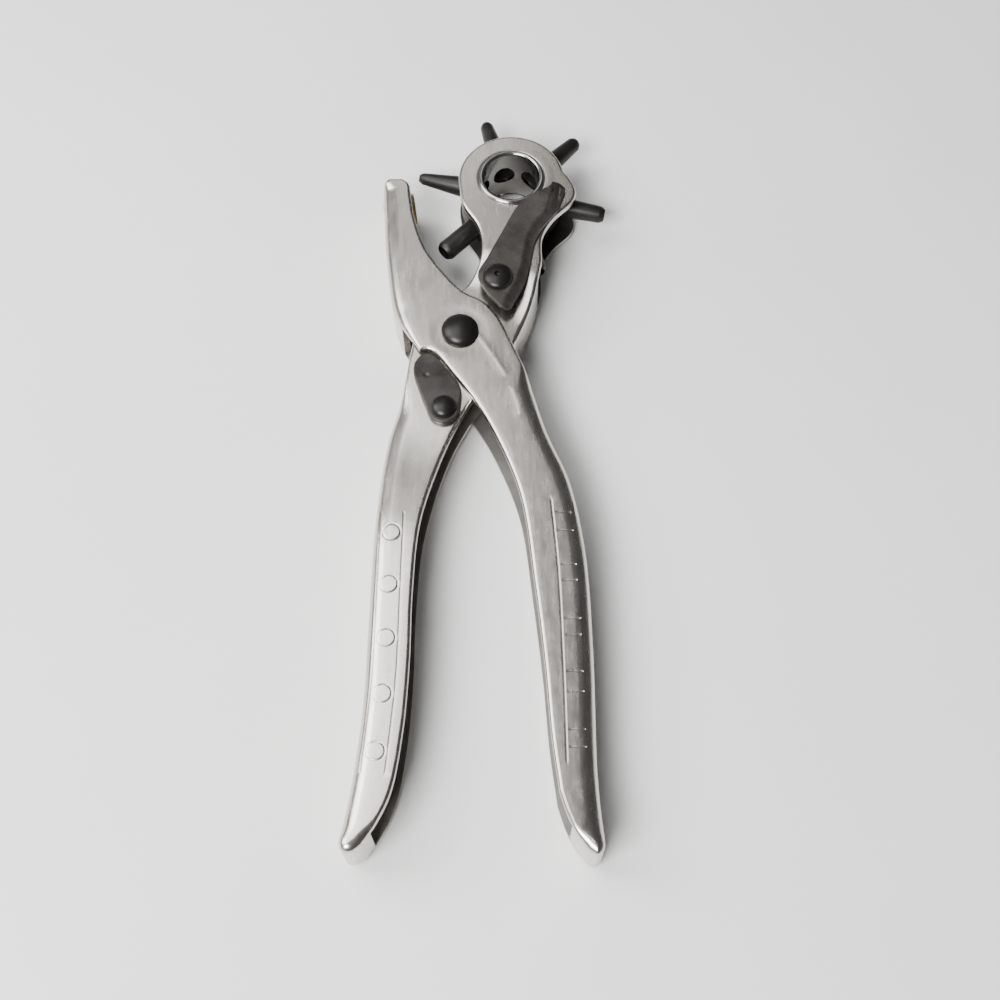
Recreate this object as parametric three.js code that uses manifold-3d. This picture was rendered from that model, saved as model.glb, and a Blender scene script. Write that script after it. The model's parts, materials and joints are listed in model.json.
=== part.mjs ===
// Rotary hole punch: two folded sheet-steel levers on one rivet, a six-tube punch wheel between the
// cheeks of one, a brass anvil in the jaw of the other, an index spring and a handle lock.
// Millimetres. The tool lies flat: +Y runs from the handles to the head, +Z up, and the pivot's axis
// is x = y = 0. Heights below are measured from the levers' mid-plane, and the group is lifted at the
// end so that the pivot rivet's flat rear end stands at z = 0.
import * as THREE from "three";
import { mergeVertices } from "three/addons/utils/BufferGeometryUtils.js";
import Module from "manifold-3d";

const wasm = await Module();
wasm.setup();

// Levers
const SHEET = 2;
const FACE = 9.3; // outer face of the lever plates
const INNER = FACE - SHEET;
const STEP_FACE = 7; // outer face of the punch lever where it passes inside the anvil lever
const STEP_INNER = STEP_FACE - SHEET;
const STEP_RADIUS = 15.8;
const STEP_SPREAD = 1.2; // width of the slope round the stepped-in zone
const EDGE_ROUND = 0.7;
const SEAT = 0.1; // gap between faces that touch
const FIT = 0.08; // radial clearance of a shank in its hole

// Pivot
const PIVOT = new THREE.Vector2(0, 0);
const PIVOT_RADIUS = 3;
const PIVOT_HEAD = { radius: 5.4, height: 2.8 };
const PIVOT_TAIL = { radius: 5, height: 1.1 };
const SPACER_RADIUS = 4.9;

// Return spring
const WIRE_RADIUS = 0.75;
const COIL_RADIUS = 6.2;
const COIL_TURNS = 2.5;
const COIL_RISE = 5;
const COIL_START = 170; // degrees

// Wheel and hub
const HUB = new THREE.Vector2(15.4, 54.8);
const HEAD_RADIUS = 16.1;
const WHEEL_RADIUS = 15.5;
const WHEEL_HALF = 6.9;
const SLEEVE = { bore: 8.6, radius: 9.4, lipRadius: 10, lipTop: 10 };
const CHEEK_HOLE = 9.6;
const SLUG_HOLE = 3.4;
const TUBE_TIP = 29.5; // from the hub's axis
const STUD_RADIUS = 2.8;
const STUD_START = 11;
const TUBE_BASE_RADIUS = 3.15;
const TUBE_WALL_AT_TIP = 0.55;
const TUBE_BORES = [2, 2.5, 3, 3.5, 4, 4.5]; // clockwise from the first tube
const FIRST_TUBE_ANGLE = 165.3;
const TUBE_PITCH = 60;
const INDEX_RADIUS = 13.6;
const INDEX_ANGLE = -30;
const INDEX_DIMPLE = { radius: 1.6, depth: 0.8, rim: 0.4 };

// Anvil
const ANVIL_ANGLE = 188.3;
const ANVIL_FACE = 29.95; // from the hub's axis
const ANVIL_RADIUS = 4.8;
const ANVIL_THICKNESS = 5.3;
const ANVIL_SHANK_RADIUS = 2.3;
const ANVIL_TAIL = { radius: 2.9, start: 39.2, end: 39.8 };

// Handle lock
const LATCH_PIN = new THREE.Vector2(-4.5, -24.8);
const LATCH_LOW = STEP_FACE + SEAT;
const LATCH_TOP = 8.9;
const LATCH_TIP_TOP = 8; // thinned tip, which the anvil lever's lip passes over
const LATCH_SLOPE = [-15.5, -9.6]; // where along y the top falls to the thin tip
const LATCH_FOOT_RADIUS = 4.7;
const LATCH_DIMPLE = new THREE.Vector2(-9.5, -14.2);
const LATCH_RIVET_RADIUS = 1.8;
const LATCH_HEAD = { radius: 3.5, height: 1.9 };
const LATCH_TAIL = { radius: 3, height: 1 };
const REBATE = { inner: 9.6, outer: 17 }; // radii from the pivot

// Index spring
const LEAF_PIN = new THREE.Vector2(11, 16.6);
const LEAF_THICKNESS = 1.2;
const LEAF_LOW = FACE + 0.4;
const LEAF_RISE = 0.6; // from the rivet's end to the thumb end
const LEAF_FLANGE = { width: 2.4, drop: 0.85 };
const LEAF_PLAY = 0.25; // under the rivet's head, for the leaf to flex
const LEAF_RIVET_RADIUS = 2;
const LEAF_RIVET_AT = 0.3; // share of the leaf's length
const NOSE_AT = 0.93;
const INDEX_HEAD = { radius: 4.3, height: 2 };
const INDEX_TAIL = { radius: 3.2, height: 1 };
const NOSE_RADIUS = 1.5;
const NOSE_PIN_RADIUS = 1; // where it passes through the leaf

const MATERIALS = {
  plated_steel: { color: 0xa6a6a1, roughness: 0.35, metalness: 1 },
  black_steel: { color: 0x35332f, roughness: 0.45, metalness: 0.8 },
  chrome: { color: 0xd8d8d6, roughness: 0.12, metalness: 1 },
  brass: { color: 0xb59a58, roughness: 0.35, metalness: 1 },
  spring_steel: { color: 0x77756f, roughness: 0.4, metalness: 1 },
};

// ---------- Shapes ----------

function solid(geometry) {
  geometry.deleteAttribute("normal");
  geometry.deleteAttribute("uv");
  const merged = mergeVertices(geometry, 1e-4);
  return new wasm.Manifold(
    new wasm.Mesh({
      numProp: 3,
      vertProperties: merged.attributes.position.array,
      triVerts: new Uint32Array(merged.index.array),
    }),
  );
}

function piece(name, material, manifold) {
  const data = manifold.getMesh();
  const geometry = new THREE.BufferGeometry();
  geometry.setAttribute("position", new THREE.BufferAttribute(data.vertProperties, 3));
  geometry.setIndex(new THREE.BufferAttribute(data.triVerts, 1));
  geometry.computeVertexNormals();
  const mesh = new THREE.Mesh(geometry, new THREE.MeshStandardMaterial(MATERIALS[material]));
  mesh.name = name;
  return mesh;
}

// Points along a smooth line through the given ones.
function smooth(points, count) {
  const line = new THREE.CatmullRomCurve3(
    points.map(([x, y]) => new THREE.Vector3(x, y, 0)),
    false,
    "centripetal",
  );
  return line.getPoints(count).map((p) => [p.x, p.y]);
}

// Points of an arc between two angles in degrees.
function arc(centre, radius, from, to, count) {
  return Array.from({ length: count + 1 }, (_, i) => {
    const angle = THREE.MathUtils.degToRad(from + ((to - from) * i) / count);
    return [centre.x + radius * Math.cos(angle), centre.y + radius * Math.sin(angle)];
  });
}

function shapeOf(points) {
  return new THREE.Shape(points.map(([x, y]) => new THREE.Vector2(x, y)));
}

// An outline raised between two heights, with its edges rounded off inside the outline.
function slab(points, low, high, round = 0) {
  const geometry = new THREE.ExtrudeGeometry(shapeOf(points), {
    depth: high - low - 2 * round,
    bevelEnabled: round > 0,
    bevelThickness: round,
    bevelSize: round,
    bevelOffset: -round,
    bevelSegments: 1,
  });
  geometry.translate(0, 0, low + round);
  return solid(geometry);
}

// An outline that widens as it rises, for cutting a sloped step into a plate.
function stepCutter(points, low, rise, spread, grow) {
  const geometry = new THREE.ExtrudeGeometry(shapeOf(points), {
    depth: rise,
    bevelThickness: rise,
    bevelSize: spread,
    bevelOffset: grow,
    bevelSegments: 1,
  });
  geometry.translate(0, 0, low + rise);
  return solid(geometry);
}

// A turned solid about +Z: [radius, height] points from the low end to the high end.
function turned(profile, segments = 24) {
  const geometry = new THREE.LatheGeometry(
    profile.map(([r, z]) => new THREE.Vector2(r, z)),
    segments,
  );
  geometry.rotateX(Math.PI / 2);
  return solid(geometry);
}

function rod(radius, low, high, segments = 24) {
  return turned([[0, low], [radius, low], [radius, high], [0, high]], segments);
}

function ring(bore, radius, low, high, segments) {
  return turned([[bore, low], [radius, low], [radius, high], [bore, high], [bore, low]], segments);
}

// Profile points of a dome that rises from its rim to the axis.
function dome(radius, low, height, steps = 4) {
  return Array.from({ length: steps + 1 }, (_, i) => {
    const angle = (i / steps) * (Math.PI / 2);
    return [i < steps ? radius * Math.cos(angle) : 0, low + height * Math.sin(angle)];
  });
}

function mirrored(manifold) {
  return manifold.mirror([0, 0, 1]);
}

function bothFaces(manifold) {
  return manifold.add(mirrored(manifold));
}

function at(manifold, point) {
  return manifold.translate([point.x, point.y, 0]);
}

// Turns a solid made along +Z to lie along a direction in the XY plane from the hub's axis.
function fromHub(manifold, angle) {
  return at(manifold.rotate([0, 90, 0]).rotate([0, 0, angle]), HUB);
}

// A closed solid through sections of equal length, each a list of [x, y, z] points that run
// clockwise as seen from the last section.
function loft(sections) {
  const size = sections[0].length;
  const position = sections.flat(2);
  const index = [];
  for (let i = 0; i + 1 < sections.length; i++) {
    for (let j = 0; j < size; j++) {
      const a = i * size + j;
      const b = i * size + ((j + 1) % size);
      index.push(a, b + size, b);
      index.push(a, a + size, b + size);
    }
  }
  const last = (sections.length - 1) * size;
  for (let j = 1; j + 1 < size; j++) {
    index.push(0, j, j + 1);
    index.push(last, last + j + 1, last + j);
  }
  const geometry = new THREE.BufferGeometry();
  geometry.setAttribute("position", new THREE.Float32BufferAttribute(position, 3));
  geometry.setIndex(index);
  return solid(geometry);
}

// ---------- Levers ----------

// The anvil lever's outline: down the jaw's inner edge and the right handle, and back up the left.
function anvilLeverOutline() {
  const inner = smooth(
    [
      [-18.6, 55], [-16.4, 53.3], [-15.3, 48], [-14, 41], [-10.5, 29.5], [-4.5, 20], [1, 13.8], [6.5, 10.6],
      [11, 5], [15.3, -4.4], [19.3, -14.5], [24.3, -32], [30, -47], [33.4, -68], [34.3, -98],
      [34.3, -130], [35, -141],
    ],
    26,
  );
  const end = smooth([[35, -144], [34.4, -147], [32.6, -148.2], [30.8, -146.4]], 4);
  const lower = smooth(
    [
      [28.6, -142.6], [25.2, -134.5], [23.5, -119], [22.3, -100], [20.2, -77], [17, -52], [10, -33], [4, -22],
      [-2, -13.6], [-6, -8],
    ],
    16,
  );
  const notch = [[-7.4, -6.6], [-9, -5.8], [-10.4, -5.9], [-11.6, -6.1]];
  const upper = smooth([[-13.2, -3.4], [-18.5, 6], [-21.5, 25], [-22.6, 42], [-22.8, 53.4], [-21.6, 55]], 10);
  return [...inner, ...end, ...lower, ...notch, ...upper];
}

// What is hollow in the anvil lever: all but the web behind the jaw and the web of the right handle.
function anvilLeverHollow() {
  const jawWeb = smooth([[-20.7, 60], [-20.6, 42], [-19.5, 25], [-17.8, 11]], 6);
  const handleWeb = smooth(
    [
      [30.6, -143], [32.6, -141.5], [32.2, -130], [32.2, -98], [31.3, -68], [28, -47.8], [22.2, -32.4],
      [18.4, -18],
    ],
    12,
  );
  return [
    ...jawWeb, [-30, 8], [-30, -60], [10, -150], [26, -143], ...handleWeb, [30, -14], [30, 60],
  ];
}

// The stretch beside the handle lock's tip that the lock lies under while the levers open and close.
function lockRebate() {
  return [...arc(PIVOT, REBATE.inner, 196, 236, 5), ...arc(PIVOT, REBATE.outer, 222, 192, 4)];
}

function anvilAxisSolid(manifold) {
  return fromHub(manifold, ANVIL_ANGLE);
}

function anvilLever() {
  return slab(anvilLeverOutline(), -FACE, FACE, EDGE_ROUND)
    .subtract(slab(anvilLeverHollow(), -INNER, INNER))
    .subtract(slab(lockRebate(), INNER - 1, LATCH_TIP_TOP + 2 * SEAT))
    .subtract(rod(PIVOT_RADIUS + FIT, -FACE - 1, FACE + 1))
    .subtract(anvilAxisSolid(rod(ANVIL_SHANK_RADIUS + SEAT, ANVIL_FACE, ANVIL_TAIL.end + 2)));
}

// The punch lever's outline: round the head, down its right side and the left handle, and back up.
function punchLeverOutline() {
  const head = arc(HUB, HEAD_RADIUS, 190, 10, 20);
  const right = smooth(
    [
      [33.6, 53.8], [34.9, 50], [34, 46.2], [27.6, 39.2], [24.5, 33], [24.1, 24], [21.5, 12], [17.5, 1],
      [12, -10], [6, -18.6],
    ],
    16,
  );
  const inner = smooth(
    [
      [2.6, -23], [-2, -32], [-6.8, -45], [-10.6, -60], [-12.2, -80], [-12.6, -100], [-13.9, -118], [-17, -135],
      [-21, -141.3],
    ],
    14,
  );
  const end = smooth([[-24, -143.9], [-26, -145.6], [-27.7, -145], [-27.9, -143.4]], 4);
  const left = smooth(
    [
      [-27.3, -141], [-24.6, -129], [-23.5, -110], [-23.3, -78], [-22.4, -52], [-19.8, -30], [-15.5, -17],
      [-14.6, -7], [-12, 4], [-5, 12.5], [1.5, 17], [5.8, 25.5], [5.5, 36], [0.6, 45.2],
    ],
    24,
  );
  return [...head, ...right, ...inner, ...end, ...left];
}

// What is hollow in the punch lever: all but the web of the left handle and the one behind the neck.
function punchLeverHollow() {
  const handleWeb = smooth(
    [
      [-17.4, -21], [-18, -30.4], [-20.4, -52], [-21.3, -78], [-21.5, -110], [-22.7, -129], [-25.4, -140.6],
      [-24.6, -142.2],
    ],
    12,
  );
  return [
    [-30, 80], [-30, -17], ...handleWeb, [-20, -143], [10, -100], [40, -50], [30, 1], [15.4, 1.5], [19.5, 12],
    [21.9, 19], [45, 22], [50, 80],
  ];
}

// The stretch where the punch lever is stepped in to pass inside the anvil lever and under the lock.
function steppedZone() {
  return [
    ...arc(PIVOT, STEP_RADIUS, 6, 200, 14), [-22, -10], [-18, -17.5],
    ...arc(LATCH_PIN, 8.6, 185, 330, 6), [12, -27], [24, -12], [24, 1.6],
  ];
}

function punchLever() {
  const rise = FACE - STEP_FACE;
  const hollow = slab(punchLeverHollow(), -INNER, INNER)
    .subtract(bothFaces(stepCutter(steppedZone(), STEP_INNER, rise, STEP_SPREAD, SHEET)))
    .add(slab(punchLeverHollow(), -STEP_INNER, STEP_INNER));
  return slab(punchLeverOutline(), -FACE, FACE, EDGE_ROUND)
    .subtract(bothFaces(stepCutter(steppedZone(), STEP_FACE, rise, STEP_SPREAD, 0)))
    .subtract(hollow)
    .subtract(rod(PIVOT_RADIUS + FIT, -FACE - 1, FACE + 1))
    .subtract(at(rod(CHEEK_HOLE, -FACE - 1, FACE + 1, 40), HUB))
    .subtract(at(rod(LATCH_RIVET_RADIUS + FIT, 0, FACE + 1), LATCH_PIN))
    .subtract(at(rod(LEAF_RIVET_RADIUS + FIT, 0, FACE + 1), LEAF_PIN))
    .subtract(at(rod(INDEX_TAIL.radius + 3 * SEAT, 0, INNER), LEAF_PIN))
    .subtract(at(rod(NOSE_RADIUS + 0.5, 0, FACE + 1), nosePlace()));
}

// ---------- Rivets, spacer and return spring ----------

// A shank with a domed head at its high end and a flat tail at its low end.
function rivet(shank, head, tail, low, high) {
  return turned([
    [0, low - tail.height], [tail.radius - 0.6, low - tail.height], [tail.radius, low - tail.height / 2],
    [tail.radius, low], [shank, low], [shank, high], [head.radius - 0.2, high],
    ...dome(head.radius, high + 0.2, head.height - 0.2),
  ]);
}

function pivotRivet() {
  return rivet(PIVOT_RADIUS, PIVOT_HEAD, PIVOT_TAIL, -FACE - SEAT, FACE + SEAT);
}

function pivotSpacer() {
  return ring(PIVOT_RADIUS + 2 * FIT, SPACER_RADIUS, SEAT - STEP_INNER, STEP_INNER - SEAT, 24);
}

// One wire: a leg inside the left handle, the coil round the spacer, and a leg inside the right one.
function returnSpring() {
  const steps = 26;
  const coil = Array.from({ length: steps + 1 }, (_, i) => {
    const t = i / steps;
    const angle = THREE.MathUtils.degToRad(COIL_START + 360 * COIL_TURNS * t);
    const height = COIL_RISE * (0.5 - t);
    return new THREE.Vector3(COIL_RADIUS * Math.cos(angle), COIL_RADIUS * Math.sin(angle), height);
  });
  const firstLeg = [new THREE.Vector3(-18.2, -42, 2.5), new THREE.Vector3(-11.5, -22, 2.5)];
  const secondLeg = [new THREE.Vector3(15.5, -22, -2.5), new THREE.Vector3(24.4, -42, -2.5)];
  const path = new THREE.CatmullRomCurve3([...firstLeg, ...coil, ...secondLeg], false, "centripetal");
  const section = new THREE.Shape(arc(PIVOT, WIRE_RADIUS, 0, 300, 5).map(([x, y]) => new THREE.Vector2(x, y)));
  return solid(
    new THREE.ExtrudeGeometry(section, { steps: 66, extrudePath: path, bevelEnabled: false }),
  );
}

// ---------- Wheel, sleeve, tubes and anvil ----------

function tubeAngles() {
  return TUBE_BORES.map((_, i) => FIRST_TUBE_ANGLE - TUBE_PITCH * i);
}

function punchWheel() {
  const edge = 1;
  const bore = SLEEVE.radius + SEAT + FIT;
  let wheel = turned(
    [
      [bore, -WHEEL_HALF], [WHEEL_RADIUS - edge, -WHEEL_HALF], [WHEEL_RADIUS, edge - WHEEL_HALF],
      [WHEEL_RADIUS, WHEEL_HALF - edge], [WHEEL_RADIUS - edge, WHEEL_HALF], [bore, WHEEL_HALF],
      [bore, -WHEEL_HALF],
    ],
    40,
  );
  wheel = at(wheel, HUB);
  for (const angle of tubeAngles()) {
    wheel = wheel.subtract(fromHub(rod(STUD_RADIUS + FIT, 6, 20, 16), angle));
  }
  for (const angle of tubeAngles()) {
    wheel = wheel.subtract(at(indexDimple(), onWheel(angle + INDEX_ANGLE - ANVIL_ANGLE)));
  }
  return wheel;
}

// A shallow conical seat for the index spring's nose in the wheel's front face.
function indexDimple() {
  const { radius, depth, rim } = INDEX_DIMPLE;
  return turned([[0, WHEEL_HALF - depth], [radius, WHEEL_HALF + rim], [0, WHEEL_HALF + rim]], 12);
}

function onWheel(angle) {
  const radians = THREE.MathUtils.degToRad(angle);
  return new THREE.Vector2(Math.cos(radians), Math.sin(radians)).multiplyScalar(INDEX_RADIUS).add(HUB);
}

function nosePlace() {
  return onWheel(INDEX_ANGLE);
}

// The hollow axle with its rolled lips, holed opposite each tube so that the slugs drop through.
function hubSleeve() {
  const { bore, radius, lipRadius, lipTop } = SLEEVE;
  const under = FACE + SEAT;
  let sleeve = turned(
    [
      [bore, -lipTop + 0.2], [bore + 0.5, -lipTop], [lipRadius - 0.2, -lipTop], [lipRadius, -under],
      [radius, -under], [radius, under], [lipRadius, under], [lipRadius - 0.2, lipTop],
      [bore + 0.5, lipTop], [bore, lipTop - 0.2], [bore, -lipTop + 0.2],
    ],
    40,
  );
  sleeve = at(sleeve, HUB);
  for (const angle of tubeAngles()) {
    sleeve = sleeve.subtract(fromHub(rod(SLUG_HOLE, 5, 12, 12), angle));
  }
  return sleeve;
}

// A punch tube: a stud that screws into the wheel, a shoulder, and a taper to the cutting edge.
function punchTube(bore) {
  const inner = bore / 2;
  const shoulder = WHEEL_RADIUS + SEAT;
  const tip = inner + TUBE_WALL_AT_TIP;
  return turned(
    [
      [inner, STUD_START], [STUD_RADIUS, STUD_START], [STUD_RADIUS, shoulder], [TUBE_BASE_RADIUS, shoulder],
      [TUBE_BASE_RADIUS - 0.15, shoulder + 2], [tip + 0.25, TUBE_TIP - 1.2], [inner + 0.12, TUBE_TIP],
      [inner, TUBE_TIP], [inner, STUD_START],
    ],
    16,
  );
}

function anvil() {
  const back = ANVIL_FACE + ANVIL_THICKNESS;
  return anvilAxisSolid(
    turned(
      [
        [0, ANVIL_FACE], [ANVIL_RADIUS - 0.4, ANVIL_FACE], [ANVIL_RADIUS, ANVIL_FACE + 0.4],
        [ANVIL_RADIUS, back], [ANVIL_SHANK_RADIUS, back], [ANVIL_SHANK_RADIUS, ANVIL_TAIL.start],
        [ANVIL_TAIL.radius, ANVIL_TAIL.start], [ANVIL_TAIL.radius - 0.4, ANVIL_TAIL.end], [0, ANVIL_TAIL.end],
      ],
    ),
  );
}

// ---------- Handle lock ----------

function lockOutline() {
  const left = smooth(
    [[-9.2, -6.4], [-11.3, -7.1], [-12.9, -9.3], [-13.2, -13], [-11.2, -20], [-9.2, -25.4]],
    10,
  );
  const foot = arc(LATCH_PIN, LATCH_FOOT_RADIUS, 190, 340, 8);
  const right = smooth([[0.1, -23], [-0.2, -18.6], [-3.4, -12.4], [-6, -8.4], [-7.5, -6.9]], 8);
  return [...left, ...foot, ...right];
}

// The lock's top falls to the thin tip, over the stretch that the anvil lever's lip can cover.
function lockLatch() {
  const across = 20;
  const above = LATCH_TOP + 3;
  const [start, end] = LATCH_SLOPE;
  const tipSlope = loft(
    [-across, across].map((x) => [
      [x, 0, LATCH_TIP_TOP], [x, end, LATCH_TIP_TOP], [x, start, LATCH_TOP], [x, start, above], [x, 0, above],
    ]),
  );
  const dimple = turned([[0, LATCH_TOP - 0.6], [1, LATCH_TOP + 0.4], [0, LATCH_TOP + 0.4]], 12);
  return slab(lockOutline(), LATCH_LOW, LATCH_TOP, 0.3)
    .subtract(tipSlope)
    .subtract(at(dimple, LATCH_DIMPLE))
    .subtract(at(rod(LATCH_RIVET_RADIUS + FIT, 0, FACE), LATCH_PIN));
}

function lockRivet() {
  const shank = rivet(LATCH_RIVET_RADIUS, LATCH_HEAD, LATCH_TAIL, STEP_INNER - SEAT, LATCH_TOP + SEAT);
  return at(shank, LATCH_PIN);
}

// ---------- Index spring ----------

const LEAF_LEFT = [
  [11.6, 6.9], [7.6, 12.2], [5.2, 18], [8, 24], [12.4, 33], [16.8, 41.8], [20.5, 46], [25.6, 48.7], [27.6, 50.8],
];
const LEAF_RIGHT = [
  [14.9, 7.2], [18.2, 14], [20, 19.3], [21.4, 26.8], [22.4, 31.2], [25, 36], [28.6, 40.6], [30.3, 45.2],
  [31.7, 49.4],
];

// Height of the leaf's underside, which rises evenly from its riveted end to its thumb end.
function leafUnderside(t) {
  return LEAF_LOW + LEAF_FLANGE.drop + LEAF_RISE * t;
}

// A pressed leaf whose right edge is folded down along its whole length.
function indexSpring() {
  const count = 16;
  const left = smooth(LEAF_LEFT, count);
  const right = smooth(LEAF_RIGHT, count);
  const sections = left.map(([lx, ly], i) => {
    const [rx, ry] = right[i];
    const low = leafUnderside(i / count);
    const high = low + LEAF_THICKNESS;
    const share = LEAF_FLANGE.width / Math.hypot(rx - lx, ry - ly);
    const fold = [rx + (lx - rx) * share, ry + (ly - ry) * share];
    return [
      [lx, ly, low], [fold[0], fold[1], low], [rx, ry, low - LEAF_FLANGE.drop],
      [rx, ry, high - LEAF_FLANGE.drop], [fold[0], fold[1], high], [lx, ly, high],
    ];
  });
  return loft(sections)
    .subtract(at(rod(LEAF_RIVET_RADIUS + FIT, 0, 20), LEAF_PIN))
    .subtract(at(rod(NOSE_PIN_RADIUS + SEAT, 0, 20, 16), nosePlace()));
}

// The hardened nose that drops into the wheel's dimples, riveted through the leaf.
function indexNose() {
  const shoulder = leafUnderside(NOSE_AT) - 0.3;
  const tip = WHEEL_HALF + 0.3;
  return at(
    turned(
      [
        [0, tip], [0.6, tip], [NOSE_RADIUS, tip + 0.8], [NOSE_RADIUS, shoulder],
        [NOSE_PIN_RADIUS, shoulder], [NOSE_PIN_RADIUS, shoulder + 1.6], [0, shoulder + 1.7],
      ],
      16,
    ),
    nosePlace(),
  );
}

function indexRivet() {
  const top = leafUnderside(LEAF_RIVET_AT) + LEAF_THICKNESS + LEAF_PLAY;
  const centreDrill = turned([[0, top + 1.3], [0.7, top + 1.7], [0.7, top + 3], [0, top + 3]], 12);
  return at(rivet(LEAF_RIVET_RADIUS, INDEX_HEAD, INDEX_TAIL, INNER - SEAT, top).subtract(centreDrill), LEAF_PIN);
}

// ---------- Assembly ----------

const group = new THREE.Group();
group.add(piece("anvil_lever", "plated_steel", anvilLever()));
group.add(piece("anvil", "brass", anvil()));
group.add(piece("punch_lever", "plated_steel", punchLever()));
group.add(piece("pivot_rivet", "black_steel", pivotRivet()));
group.add(piece("pivot_spacer", "spring_steel", pivotSpacer()));
group.add(piece("return_spring", "spring_steel", returnSpring()));
group.add(piece("lock_latch", "black_steel", lockLatch()));
group.add(piece("lock_rivet", "black_steel", lockRivet()));
group.add(piece("index_spring", "black_steel", indexSpring()));
group.add(piece("index_nose", "black_steel", indexNose()));
group.add(piece("index_rivet", "black_steel", indexRivet()));
group.add(piece("punch_wheel", "black_steel", punchWheel()));
group.add(piece("hub_sleeve", "chrome", hubSleeve()));
for (const [i, bore] of TUBE_BORES.entries()) {
  const name = "punch_tube_" + bore.toFixed(1).replace(".", "_") + "mm";
  group.add(piece(name, "black_steel", fromHub(punchTube(bore), tubeAngles()[i])));
}
group.position.z = FACE + SEAT + PIVOT_TAIL.height;

export default group;
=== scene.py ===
"""Visual model of a rotary hole punch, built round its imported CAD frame.

Lengths in this script are millimetres in the frame's x and y, with heights measured from the levers'
mid-plane; metres() turns them into the frame's own metres. The pivot and hub places come from the
frame's joints.
"""
import json
import math

import bpy
from mathutils import Matrix, Vector
from mathutils.geometry import delaunay_2d_cdt
from mathutils.kdtree import KDTree


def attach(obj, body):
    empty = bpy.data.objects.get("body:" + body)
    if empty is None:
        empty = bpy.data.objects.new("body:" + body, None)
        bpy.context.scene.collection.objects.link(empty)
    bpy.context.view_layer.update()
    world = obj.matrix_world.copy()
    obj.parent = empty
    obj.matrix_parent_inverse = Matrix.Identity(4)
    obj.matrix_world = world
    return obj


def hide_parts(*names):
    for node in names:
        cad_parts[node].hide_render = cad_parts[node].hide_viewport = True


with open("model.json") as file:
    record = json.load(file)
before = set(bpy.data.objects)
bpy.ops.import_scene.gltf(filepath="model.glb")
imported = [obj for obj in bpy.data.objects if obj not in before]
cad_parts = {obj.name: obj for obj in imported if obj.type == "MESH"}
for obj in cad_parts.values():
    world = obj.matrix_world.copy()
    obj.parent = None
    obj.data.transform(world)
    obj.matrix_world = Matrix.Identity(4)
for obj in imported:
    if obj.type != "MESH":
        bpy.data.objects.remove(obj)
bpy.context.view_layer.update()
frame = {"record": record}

MM = 0.001
JOINTS = {joint["name"]: joint for joint in frame["record"]["behaviour"]["joints"]}


def joint_place(name):
    return Vector(JOINTS[name]["pos_m"]) / MM


PIVOT = joint_place("handle_pivot").xy
MID_PLANE = joint_place("handle_pivot").z
HUB = joint_place("wheel_spin").xy
LOCK_PIN = joint_place("lock_swing").xy
LEAF_PIN = joint_place("index_spring_flex").xy

# Levers
SHEET = 2.0
FACE = 9.3            # outer face of the lever plates
STEP_FACE = 7.0       # outer face where the punch lever passes inside the anvil lever
STEP_RADIUS = 15.8
STEP_SLOPE = 15.0     # width of the slope on the neck
HANDLE_SLOPE_GAIN = 1.6     # how much wider, as a share, the slope is on the handle
STEP_SEED_OFFSETS = (-3.9, -2.6, -1.3, 0, 1.3, 2.6, 3.9)
FREE_ROUND = (1.0, 0.8)     # width and depth of the turned-in rim at a free edge
FOLD_ROUND = (4.6, 3.2)     # width and depth of the shoulder where the sheet folds into the web
RING_SHARES = (0.02, 0.07, 0.16, 0.3, 0.48, 0.7, 0.88, 1.0)
EDGE_SPACING = 0.9
LEAST_GAP = 0.4       # between the points that shape a plate
PLATE_FIELD = (-40, 60, -160, 90)   # left, right, bottom and top of the area that holds every plate
GROOVE_HALF = 0.24
GROOVE_GUARD = 0.55     # flat lines beside a groove, which keep its shading narrow
LINE_DEPTH = 0.066
RING_DEPTH = 0.085
MARK_DEPTH = 0.14
CREASE_HALF = 1.1
CREASE_RISE = 0.06
PIVOT_SEAT_DEPTH = 0.08     # the plate dips a little round the pivot rivet
HUB_RISE = 0.05             # and the cheek rises a little round the hub

# Wheel and hub
HEAD_RADIUS = 16.1
CHEEK_HOLE = 9.6
WHEEL_RADIUS = 15.5
WHEEL_HALF = 6.9
TUBE_TIP = 29.5
TUBE_BORES = (2.0, 2.5, 3.0, 3.5, 4.0, 4.5)
FIRST_TUBE_ANGLE = 165.3
TUBE_PITCH = 60.0
STUD_RADIUS = 2.8
SLEEVE_BORE = 8.6
SLEEVE_RADIUS = 9.4
SLEEVE_HALF = 9.2
SLUG_HOLE = 3.4
TUBE_WALL = 0.55
INDEX_RADIUS = 13.6
INDEX_ANGLE = -30.0
ANVIL_ANGLE = 188.3
ANVIL_FACE = 29.95
ANVIL_RADIUS = 4.8
ANVIL_BACK = 35.25
ANVIL_SHANK = 2.3
ANVIL_TAIL = 39.2

# Return spring and spacer
SPACER_BORE = 3.16
SPACER_RADIUS = 4.9
SPACER_HALF = 4.9
COIL_RADIUS = 6.2
COIL_START = 170
COIL_SWEEP = 900
COIL_HEIGHT = 5
WIRE_RADIUS = 0.75

# Black pressings
LOCK_LOW = 7.1
LOCK_TOP = 8.9
LOCK_TIP_TOP = 8.0
LOCK_FOOT = 4.7
LOCK_SECTOR = (191, 237)    # degrees round the pivot where the anvil lever passes over the lock's tip
LOCK_SECTOR_START = 9.1     # radius where the anvil lever's sheet starts to thin there
LOCK_CLEARANCE = 0.25
LOCK_DIMPLE_DEPTH = 0.45
LEAF_THICKNESS = 1.2
LEAF_LENGTH = 45
LEAF_PLATE_LOW = 10.55
LEAF_RISE = 0.6
LEAF_FLANGE_WIDTH = 2.4
LEAF_FLANGE_DROP = 1.15
LEAF_THUMB_DROP = 0.35


# ---------- Geometry helpers ----------

def metres(point):
    x, y, z = point
    return Vector((x, y, z + MID_PLANE)) * MM


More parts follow.
